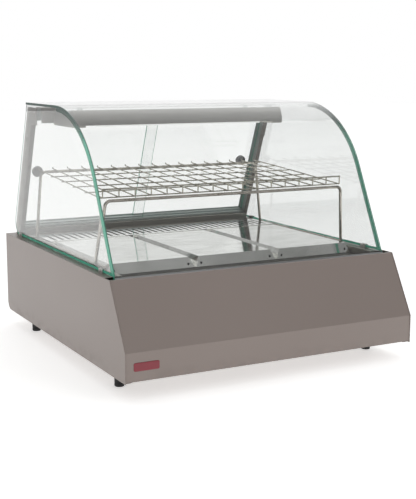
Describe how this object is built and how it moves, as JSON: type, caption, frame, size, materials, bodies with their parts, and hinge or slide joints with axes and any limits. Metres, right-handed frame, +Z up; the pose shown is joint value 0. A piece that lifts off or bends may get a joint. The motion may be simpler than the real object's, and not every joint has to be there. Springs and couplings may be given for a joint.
{
  "type": "heated food display case",
  "caption": "Counter-top heated display case with a bent glass front, leaning sliding rear doors, heated plates, a wire shelf and a lit canopy.",
  "frame": {"origin": "on the counter, under the middle of the case", "axes": "+X right seen from the customer's front, +Y towards the operator's rear, +Z up"},
  "size_m": [0.8, 0.8604, 0.645],
  "materials": {
    "painted_steel": "fine satin paint",
    "rear_paint": "satin paint",
    "steel_sheet": "brushed",
    "mirror_steel": "polished stainless steel",
    "chrome_wire": "bright plated wire",
    "glass": "clear toughened glass with green edges",
    "door_glass": "clear toughened glass",
    "track_alloy": "satin anodised",
    "fixings": "bright",
    "black_plastic": "fine grained",
    "badge_red": "plain, no lettering",
    "clear_pad": "clear silicone",
    "reflector_white": "gloss white",
    "lamp_glass": "phosphor-coated tube",
    "holder_white": "white",
    "diffuser": "opal",
    "heater_steel": "heat-darkened",
    "rocker_red": "gloss",
    "pilot_amber": "translucent amber"
  },
  "bodies": {
    "case": {"side_panel_left": "painted_steel", "side_panel_right": "painted_steel", "front_panel": "painted_steel", "badge": "badge_red", "base_pan": "rear_paint", "rear_panel": "rear_paint", "panel_screws": "fixings", "foot_nuts": "fixings", "deck_frame": "steel_sheet", "side_rails": "steel_sheet", "vent_grille": "mirror_steel", "rear_sill": "steel_sheet", "curved_glass": "glass", "side_glass_left": "glass", "side_glass_right": "glass", "glass_channel": "track_alloy", "glass_clips": "fixings", "clip_studs": "fixings", "glass_pads": "clear_pad", "rear_post_left": "steel_sheet", "rear_post_right": "steel_sheet", "door_track_bottom": "track_alloy", "door_track_top": "track_alloy", "post_bracket_left": "steel_sheet", "post_bracket_right": "steel_sheet", "bracket_screws": "fixings", "top_beam": "steel_sheet", "canopy_housing": "steel_sheet", "canopy_end_left": "steel_sheet", "canopy_end_right": "steel_sheet", "lamp_reflector": "reflector_white", "lamp_tube": "lamp_glass", "lamp_holders": "holder_white", "lamp_diffuser": "diffuser", "heating_element": "heater_steel", "element_brackets": "steel_sheet", "heat_well": "steel_sheet", "air_duct": "steel_sheet", "fan_frame": "black_plastic", "thermostat_body": "black_plastic", "switch_housings": "black_plastic", "pilot_lamp": "pilot_amber", "power_inlet": "black_plastic"},
    "door_left": {"door_left": "door_glass", "door_pull_left": "black_plastic"},
    "door_right": {"door_right": "door_glass", "door_pull_right": "black_plastic"},
    "deck_plate_left": {"deck_plate_left": "mirror_steel"},
    "deck_plate_centre": {"deck_plate_centre": "mirror_steel"},
    "deck_plate_right": {"deck_plate_right": "mirror_steel"},
    "shelf_stand": {"shelf_stand": "chrome_wire"},
    "shelf_grid": {"shelf_grid": "chrome_wire"},
    "fan_rotor": {"fan_rotor": "black_plastic"},
    "thermostat_knob": {"thermostat_knob": "black_plastic"},
    "power_rocker": {"power_rocker": "rocker_red"},
    "light_rocker": {"light_rocker": "rocker_red"},
    "foot_front_left": {"foot_front_left": "black_plastic"},
    "foot_front_right": {"foot_front_right": "black_plastic"},
    "foot_rear_left": {"foot_rear_left": "black_plastic"},
    "foot_rear_right": {"foot_rear_right": "black_plastic"}
  },
  "joints": [
    {"name": "door_left_slide", "type": "slide", "parent": "case", "child": "door_left", "axis": [1, 0, 0], "range_m": [0, 0.33]},
    {"name": "door_right_slide", "type": "slide", "parent": "case", "child": "door_right", "axis": [-1, 0, 0], "range_m": [0, 0.33]},
    {"name": "deck_plate_left_lift", "type": "slide", "parent": "case", "child": "deck_plate_left", "axis": [0, 0, 1], "range_m": [0, 0.03]},
    {"name": "deck_plate_centre_lift", "type": "slide", "parent": "case", "child": "deck_plate_centre", "axis": [0, 0, 1], "range_m": [0, 0.03]},
    {"name": "deck_plate_right_lift", "type": "slide", "parent": "case", "child": "deck_plate_right", "axis": [0, 0, 1], "range_m": [0, 0.03]},
    {"name": "shelf_stand_lift", "type": "slide", "parent": "case", "child": "shelf_stand", "axis": [0, 0, 1], "range_m": [0, 0.02]},
    {"name": "shelf_grid_lift", "type": "slide", "parent": "shelf_stand", "child": "shelf_grid", "axis": [0, 0, 1], "range_m": [0, 0.04]},
    {"name": "fan_spin", "type": "hinge", "parent": "case", "child": "fan_rotor", "pos_m": [0, 0.2305, 0.18], "axis": [0, 0, 1], "continuous": true},
    {"name": "thermostat_turn", "type": "hinge", "parent": "case", "child": "thermostat_knob", "pos_m": [-0.25, 0.43, 0.16], "axis": [0, -1, 0], "range_deg": [0, 270]},
    {"name": "power_rock", "type": "hinge", "parent": "case", "child": "power_rocker", "pos_m": [-0.17, 0.42, 0.16], "axis": [1, 0, 0], "range_deg": [0, 20]},
    {"name": "light_rock", "type": "hinge", "parent": "case", "child": "light_rocker", "pos_m": [-0.13, 0.42, 0.16], "axis": [1, 0, 0], "range_deg": [0, 20]},
    {"name": "foot_front_left_turn", "type": "hinge", "parent": "case", "child": "foot_front_left", "pos_m": [-0.358, -0.293, 0.02], "axis": [0, 0, 1], "continuous": true},
    {"name": "foot_front_right_turn", "type": "hinge", "parent": "case", "child": "foot_front_right", "pos_m": [0.358, -0.293, 0.02], "axis": [0, 0, 1], "continuous": true},
    {"name": "foot_rear_left_turn", "type": "hinge", "parent": "case", "child": "foot_rear_left", "pos_m": [-0.358, 0.298, 0.02], "axis": [0, 0, 1], "continuous": true},
    {"name": "foot_rear_right_turn", "type": "hinge", "parent": "case", "child": "foot_rear_right", "pos_m": [0.358, 0.298, 0.02], "axis": [0, 0, 1], "continuous": true}
  ]
}
